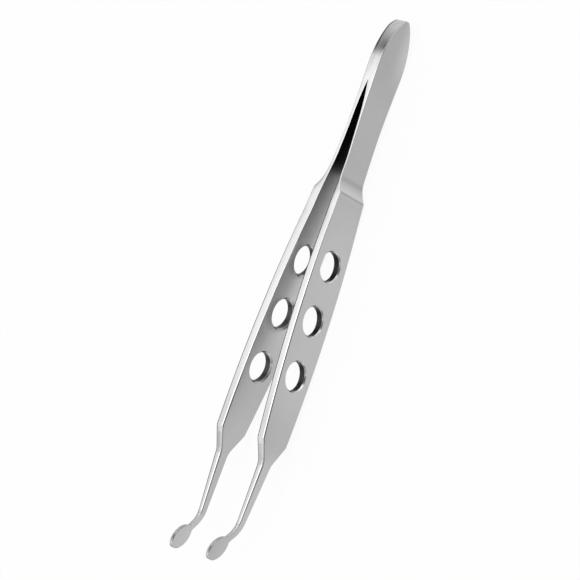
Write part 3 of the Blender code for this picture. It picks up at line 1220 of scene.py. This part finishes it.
CAMERA_PLACE = Vector((134.97, 439.12, 550.48)) * MM
CAMERA_RIGHT = Vector((-0.3418, 0.7573, -0.5565))
CAMERA_BACK = Vector((0.1083, 0.6199, 0.7771))
camera_data = bpy.data.cameras.new("camera")
camera_data.lens = 233.88
camera_data.sensor_width = 36.0
camera_data.shift_x = -0.01384
camera_data.shift_y = 0.0311
camera = new_object("camera", camera_data)
back = CAMERA_BACK.normalized()
above = back.cross(CAMERA_RIGHT).normalized()
aim = Matrix((above.cross(back), above, back)).transposed().to_4x4()
camera.matrix_world = TABLE @ Matrix.Translation(CAMERA_PLACE) @ aim
bpy.context.scene.camera = camera
print("camera at", [round(c, 3) for c in camera.matrix_world.translation])

# %% [markdown]
# ## The table
#
# Satin steel shows its surroundings more than its own colour, so the table and the room matter as much as
# the metal. The table is white to the camera. In the steel it glows only around the tool and in a wedge
# behind it, like a bright sheet with a darker room beyond.

# %% Table

WHITE = (1.0, 1.0, 1.0, 1.0)
PAPER = (0.9, 0.9, 0.9, 1.0)
TABLE_RADIUS = 3.0
TABLE_GAP = 0.0001  # below the tool
POOL_EDGE = (0.014, 0.028)  # from the middle of the tool to where the glow has faded
POOL_WIDENS_FROM = -0.05
POOL_DIM = 0.2
CAMERA_GLOW = 0.92  # the rest is lit paper, which takes the tool's faint shadow
MIRROR_GLOW = 0.8


def rays(tree):
    """Whether a ray comes from the camera, and whether it comes from a shiny reflection."""
    path = tree.nodes.new("ShaderNodeLightPath").outputs
    return path["Is Camera Ray"], path["Is Glossy Ray"]


def table_material():
    """White for the camera, with a faint shadow; in the steel it glows around the tool and behind it."""
    material = bpy.data.materials.new("white_table")
    material.use_nodes = True
    tree = material.node_tree
    shader = tree.nodes["Principled BSDF"]
    shader.inputs["Base Color"].default_value = PAPER
    shader.inputs["Roughness"].default_value = 0.9
    shader.inputs["Specular IOR Level"].default_value = 0.0
    seen, shiny = rays(tree)
    spot = parts(tree, add(tree, "ShaderNodeTexCoord").outputs["Object"])
    behind = most(tree, minus(tree, POOL_WIDENS_FROM, spot["X"]), 0.0)
    aside = minus(tree, calc(tree, "ABSOLUTE", spot["Y"]), behind)
    strength = most(tree, seen, smooth(tree, aside, *POOL_EDGE, 1.0, POOL_DIM))
    glow = add(tree, "ShaderNodeEmission", {"Color": WHITE, "Strength": strength})
    glow_share = plus(tree, times(tree, seen, CAMERA_GLOW), times(tree, shiny, MIRROR_GLOW))
    mix = add(tree, "ShaderNodeMixShader", {0: glow_share})
    tree.links.new(shader.outputs[0], mix.inputs[1])
    tree.links.new(glow.outputs[0], mix.inputs[2])
    tree.links.new(mix.outputs[0], tree.nodes["Material Output"].inputs["Surface"])
    return material


form = bmesh.new()
bmesh.ops.create_circle(form, cap_ends=True, radius=TABLE_RADIUS, segments=64)
table_mesh = bpy.data.meshes.new("table")
form.to_mesh(table_mesh)
form.free()
table_mesh.materials.append(table_material())
table = new_object("table", table_mesh)
table.location.z = -TABLE_GAP
print("table radius", TABLE_RADIUS, "m")

# %% [markdown]
# ## The room
#
# The narrow faces mirror the bright ceiling, and the thin dark lines along the edges are the dim walls. A
# pale card stands behind the rear end, a small window gives the glint at the rear tip, and a faint glow comes
# from the camera's side. Through Light Path they are seen in the steel only: the camera sees white, and
# everything else gets a plain soft light.

# %% Room

# heights are the Z, and sides the X or Y, of a direction of length 1
CEILING_HEIGHTS = (0.57, 0.73)
CEILING_LEVELS = (0.2, 1.8)
CEILING_SIDES = (0.72, 0.84)
CEILING_SIDE_LEVEL = 0.2
REAR_RISE_FROM = -0.3  # towards the rear the ceiling starts higher
REAR_RISE = -0.9
FRONT_DROP = 0.5  # and towards the plates it reaches lower
CARD_REACH = (0.44, 0.74)
CARD_LEVEL = 0.75
CARD_EDGE = (-0.85, -0.7)
WINDOW = (-0.56, 0.7, 0.445)
WINDOW_EDGE = (0.965, 0.985)
WINDOW_LEVEL = 2.2
SIDE_GLOW = (0.7, 0.85)
SIDE_GLOW_LEVEL = 0.15
SOFT_LIGHT = 0.7


def ceiling_light(tree, way):
    """Bright overhead and dim at the horizon and far to the sides."""
    beyond = most(tree, minus(tree, REAR_RISE_FROM, way["X"]), 0.0)
    ahead = times(tree, most(tree, way["X"], 0.0), FRONT_DROP)
    height = calc(tree, "MULTIPLY_ADD", beyond, REAR_RISE, plus(tree, way["Z"], ahead))
    sides = smooth(tree, calc(tree, "ABSOLUTE", way["Y"]), *CEILING_SIDES, 1.0, CEILING_SIDE_LEVEL)
    return times(tree, smooth(tree, height, *CEILING_HEIGHTS, *CEILING_LEVELS), sides)


def low_lights(tree, seen_way, way):
    """The pale card behind the rear end, the small window and the glow on the camera's side."""
    card = smooth(tree, times(tree, way["X"], -1.0), *CARD_REACH, 0.0, CARD_LEVEL)
    card = times(tree, card, smooth(tree, way["Y"], *CARD_EDGE))
    toward = add(tree, "ShaderNodeVectorMath", {0: seen_way, 1: WINDOW}, operation="DOT_PRODUCT")
    window = smooth(tree, toward.outputs["Value"], *WINDOW_EDGE, 0.0, WINDOW_LEVEL)
    side = smooth(tree, way["Y"], *SIDE_GLOW, 0.0, SIDE_GLOW_LEVEL)
    return most(tree, card, window, side)


def room():
    """A world that is white for the camera, has lights and dim walls for the steel, and lights the table."""
    world = bpy.data.worlds.new("studio")
    bpy.context.scene.world = world
    world.use_nodes = True
    tree = world.node_tree
    shader = tree.nodes["Background"]
    seen_way = add(tree, "ShaderNodeTexCoord").outputs["Generated"]
    way = parts(tree, seen_way)
    lights = plus(tree, ceiling_light(tree, way), low_lights(tree, seen_way, way))
    seen, shiny = rays(tree)
    neither = minus(tree, 1.0, plus(tree, seen, shiny))
    soft = most(tree, times(tree, neither, SOFT_LIGHT), 0.0)
    strength = plus(tree, seen, times(tree, lights, shiny), soft)
    tree.links.new(strength, shader.inputs["Strength"])
    shader.inputs["Color"].default_value = WHITE
    print("room:", len(tree.nodes), "nodes")


room()

# %% [markdown]
# ## The lamp
#
# One large round softbox hangs above the tool. It gives the wide faces their even satin and leaves the faint
# soft shadow on the table that shows where the tool touches it.

# %% Lamp

softbox = bpy.data.lights.new("ceiling_softbox", "AREA")
softbox.shape = "DISK"
softbox.size = 1.1
softbox.energy = 6.0
lamp = new_object("ceiling_softbox", softbox)
lamp.location = Vector((0.15, 0.1, 1.3))
lamp.rotation_euler = (-lamp.location).to_track_quat("-Z", "Y").to_euler()
print("lamp", round(lamp.location.length, 2), "m away, power", softbox.energy, "W")

# %% [markdown]
# ## Colour management
#
# The Standard view transform shows each colour as it was mixed.

# %% Colour management

bpy.context.scene.view_settings.view_transform = "Standard"
